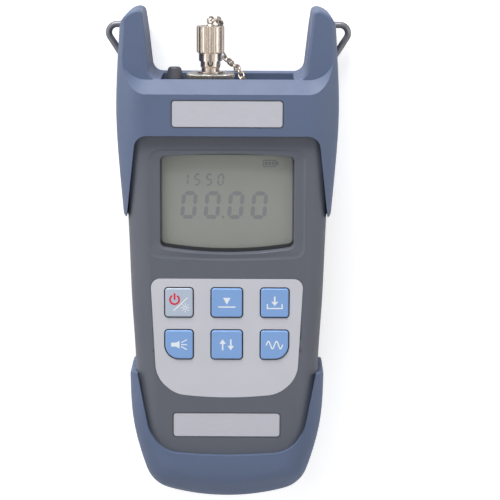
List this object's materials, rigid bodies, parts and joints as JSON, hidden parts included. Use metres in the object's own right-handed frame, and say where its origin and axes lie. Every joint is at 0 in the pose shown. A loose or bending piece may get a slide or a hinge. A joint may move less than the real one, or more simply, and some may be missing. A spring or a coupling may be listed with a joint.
{
  "type": "optical power meter",
  "caption": "Handheld optical power meter: slim case in two rubber boots, display, six keys, prong-guarded fibre port with chained dust cap, fold-out bail.",
  "frame": {"origin": "under the middle of the meter's length and width, on the plane it rests on when it lies on its back", "axes": "+X to the right across the face, +Y along the meter towards the optical port, +Z out of the display"},
  "size_m": [0.0982, 0.1952, 0.0415],
  "materials": {
    "grey_case": "fine textured moulding, grey",
    "blue_rubber": "matt moulded rubber, slate blue",
    "window_plastic": "clear polished acrylic",
    "lcd": "grey-green liquid crystal panel",
    "backlight": "milky light guide",
    "black_rubber": "matt, black",
    "silver_panel": "satin, silver",
    "black_plastic": "satin, black",
    "key_plastic": "satin, light blue",
    "power_plastic": "satin, pale grey-blue",
    "membrane": "silicone, grey",
    "circuit_board": "green solder mask on glass epoxy",
    "silver_plate": "fine brushed and lacquered",
    "cell": "printed sleeve on steel can",
    "spring_nickel": "nickel-plated spring steel",
    "nickel": "turned brass with bright nickel plate",
    "zirconia": "polished ceramic",
    "diode": "plated can with a glass face",
    "led": "clear epoxy",
    "steel": "darkened steel"
  },
  "bodies": {
    "case": {"front_housing": "grey_case", "rear_housing": "grey_case", "end_panel": "black_plastic", "top_boot": "blue_rubber", "bottom_boot": "blue_rubber", "display_window": "window_plastic", "lcd_glass": "lcd", "lcd_backlight": "backlight", "lcd_strips": "black_rubber", "keypad_bezel": "silver_panel", "keypad_membrane": "membrane", "main_board": "circuit_board", "controller_chip": "black_plastic", "buzzer": "black_plastic", "name_plate": "silver_plate", "lower_plate": "silver_plate", "battery_1": "cell", "battery_2": "cell", "battery_3": "cell", "battery_contacts": "spring_nickel", "detector_port": "nickel", "port_nut": "nickel", "photodiode": "diode", "detector_board": "circuit_board", "cap_chain": "nickel", "chain_lug": "nickel", "chain_screw": "steel", "torch_collar": "black_rubber", "torch_led": "led", "case_screws": "steel", "board_screws": "steel"},
    "power_key": {"power_key": "power_plastic"},
    "reference_key": {"reference_key": "key_plastic"},
    "save_key": {"save_key": "key_plastic"},
    "light_key": {"light_key": "key_plastic"},
    "unit_key": {"unit_key": "key_plastic"},
    "wavelength_key": {"wavelength_key": "key_plastic"},
    "door": {"battery_door": "grey_case"},
    "bail": {"bail_stand": "steel"},
    "adapter": {"fc_adapter": "nickel", "adapter_clip": "nickel", "alignment_sleeve": "zirconia"},
    "ring": {"adapter_nut": "nickel"},
    "cap_eye": {"cap_swivel": "nickel"},
    "cap": {"dust_cap": "nickel"}
  },
  "joints": [
    {"name": "power_key_press", "type": "slide", "parent": "case", "child": "power_key", "axis": [0, 0, -1], "range_m": [0, 0.0008], "stiffness_N_per_m": 200},
    {"name": "reference_key_press", "type": "slide", "parent": "case", "child": "reference_key", "axis": [0, 0, -1], "range_m": [0, 0.0008], "stiffness_N_per_m": 200},
    {"name": "save_key_press", "type": "slide", "parent": "case", "child": "save_key", "axis": [0, 0, -1], "range_m": [0, 0.0008], "stiffness_N_per_m": 200},
    {"name": "light_key_press", "type": "slide", "parent": "case", "child": "light_key", "axis": [0, 0, -1], "range_m": [0, 0.0008], "stiffness_N_per_m": 200},
    {"name": "unit_key_press", "type": "slide", "parent": "case", "child": "unit_key", "axis": [0, 0, -1], "range_m": [0, 0.0008], "stiffness_N_per_m": 200},
    {"name": "wavelength_key_press", "type": "slide", "parent": "case", "child": "wavelength_key", "axis": [0, 0, -1], "range_m": [0, 0.0008], "stiffness_N_per_m": 200},
    {"name": "bail_hinge", "type": "hinge", "parent": "case", "child": "bail", "pos_m": [0, 0.08965, 0.0052], "axis": [1, 0, 0], "range_deg": [0, 180]},
    {"name": "door_hinge", "type": "hinge", "parent": "case", "child": "door", "pos_m": [0, -0.05985, 0.0055], "axis": [-1, 0, 0], "range_deg": [0, 75]},
    {"name": "adapter_rise", "type": "slide", "parent": "case", "child": "adapter", "axis": [0, 1, 0], "range_m": [0, 0.00225], "deforming": ["cap_chain"]},
    {"name": "ring_turn", "type": "hinge", "parent": "adapter", "child": "ring", "pos_m": [-0.00685, 0.06905, 0.0217], "axis": [0, 1, 0], "range_deg": [0, 1080]},
    {"name": "cap_rise", "type": "slide", "parent": "adapter", "child": "cap_eye", "axis": [0, 1, 0], "range_m": [0, 0.0075], "deforming": ["cap_chain"]},
    {"name": "cap_turn", "type": "hinge", "parent": "cap_eye", "child": "cap", "pos_m": [-0.00685, 0.08345, 0.0217], "axis": [0, 1, 0], "range_deg": [0, 3600]}
  ],
  "couplings": [
    {"joint": "adapter_rise", "follows": "ring_turn", "m_per_rad": 0.00011937},
    {"joint": "cap_rise", "follows": "cap_turn", "m_per_rad": 0.00011937}
  ]
}
